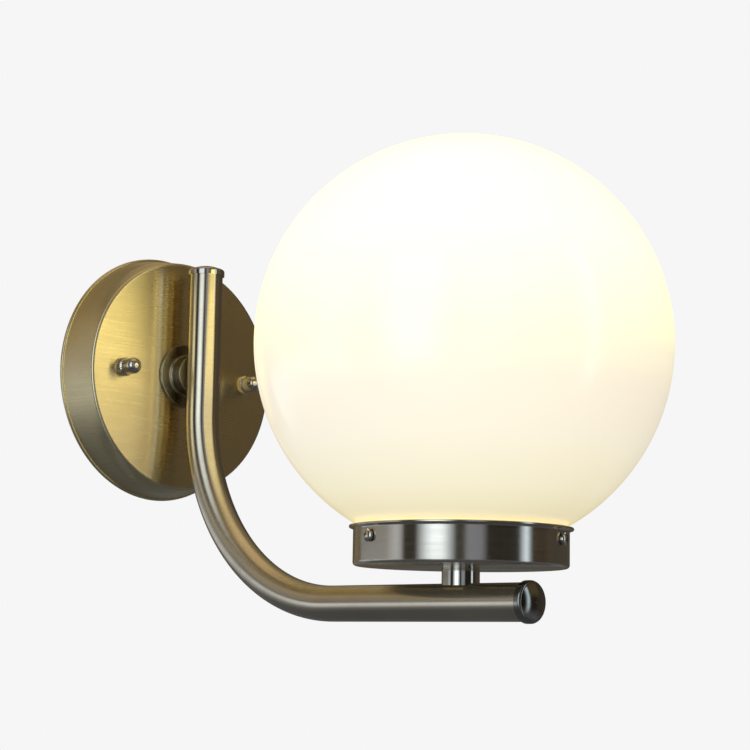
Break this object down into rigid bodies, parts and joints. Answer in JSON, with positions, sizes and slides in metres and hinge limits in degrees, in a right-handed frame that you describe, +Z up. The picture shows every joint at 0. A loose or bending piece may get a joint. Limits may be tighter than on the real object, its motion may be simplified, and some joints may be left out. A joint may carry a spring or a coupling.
{
  "type": "globe wall sconce",
  "caption": "Wall light with a round canopy, a J-shaped tube arm and an opal glass globe held upright in a shallow cup by side screws.",
  "frame": {"origin": "centre of the two wall-screw slots on the wall face, which is the middle of the canopy's back", "axes": "+Z up, +Y into the wall, so the light stands out along -Y"},
  "size_m": [0.2, 0.329, 0.2325],
  "materials": {
    "satin_nickel": "satin brushed nickel plate",
    "polished_chrome": "polished",
    "zinc_steel": "zinc plated",
    "brass": "bright turned brass",
    "opal_glass": "glossy opal, lit from inside",
    "bulb_glass": "frosted white",
    "holder_plastic": "moulded, semi-gloss",
    "porcelain": "glazed",
    "block_plastic": "moulded, matt",
    "insulator": "black glass, glossy",
    "line_insulation": "smooth sleeve",
    "neutral_insulation": "smooth sleeve",
    "earth_insulation": "smooth sleeve, yellow striped"
  },
  "bodies": {
    "wall_arm": {"canopy_plate": "satin_nickel", "arm_tube": "satin_nickel", "arm_top_plug": "satin_nickel", "arm_front_plug": "satin_nickel", "arm_standoff": "satin_nickel", "fitter_cup": "satin_nickel", "fitter_stem": "polished_chrome", "wall_bracket": "zinc_steel", "canopy_studs": "zinc_steel", "stud_lock_nuts": "zinc_steel", "arm_nipple": "brass", "arm_nipple_washer": "zinc_steel", "arm_nipple_nut": "brass", "stem_nipple": "brass", "fitter_washer": "zinc_steel", "fitter_nut": "brass", "lampholder_cap": "holder_plastic", "lampholder_insert": "porcelain", "lampholder_sleeve": "holder_plastic", "lampholder_screw_shell": "brass", "lampholder_centre_contact": "brass", "lampholder_terminals": "brass", "terminal_block": "block_plastic", "terminal_clamps": "brass", "terminal_block_screws": "zinc_steel", "earth_lug": "brass", "earth_screw": "brass", "line_wire": "line_insulation", "neutral_wire": "neutral_insulation", "earth_wire": "earth_insulation"},
    "globe": {"glass_globe": "opal_glass"},
    "globe_screw_1": {"globe_screw_1": "polished_chrome"},
    "globe_screw_2": {"globe_screw_2": "polished_chrome"},
    "globe_screw_3": {"globe_screw_3": "polished_chrome"},
    "left_cap_nut": {"cap_nut_left": "polished_chrome"},
    "right_cap_nut": {"cap_nut_right": "polished_chrome"},
    "bulb": {"bulb_glass": "bulb_glass", "bulb_cap": "brass", "bulb_insulator": "insulator", "bulb_contact": "brass"}
  },
  "joints": [
    {"name": "globe_lift", "type": "slide", "parent": "wall_arm", "child": "globe", "axis": [0, 0, 1], "range_m": [0, 0.155]},
    {"name": "bulb_unscrew", "type": "slide", "parent": "wall_arm", "child": "bulb", "axis": [0, 0, 1], "range_m": [0, 0.03]},
    {"name": "globe_screw_1_back_off", "type": "slide", "parent": "wall_arm", "child": "globe_screw_1", "axis": [0.2924, -0.9563, 0], "range_m": [0, 0.004]},
    {"name": "globe_screw_2_back_off", "type": "slide", "parent": "wall_arm", "child": "globe_screw_2", "axis": [-0.9744, 0.225, 0], "range_m": [0, 0.004]},
    {"name": "globe_screw_3_back_off", "type": "slide", "parent": "wall_arm", "child": "globe_screw_3", "axis": [0.682, 0.7314, 0], "range_m": [0, 0.004]},
    {"name": "left_cap_nut_off", "type": "slide", "parent": "wall_arm", "child": "left_cap_nut", "axis": [0, -1, 0], "range_m": [0, 0.012]},
    {"name": "right_cap_nut_off", "type": "slide", "parent": "wall_arm", "child": "right_cap_nut", "axis": [0, -1, 0], "range_m": [0, 0.012]}
  ]
}
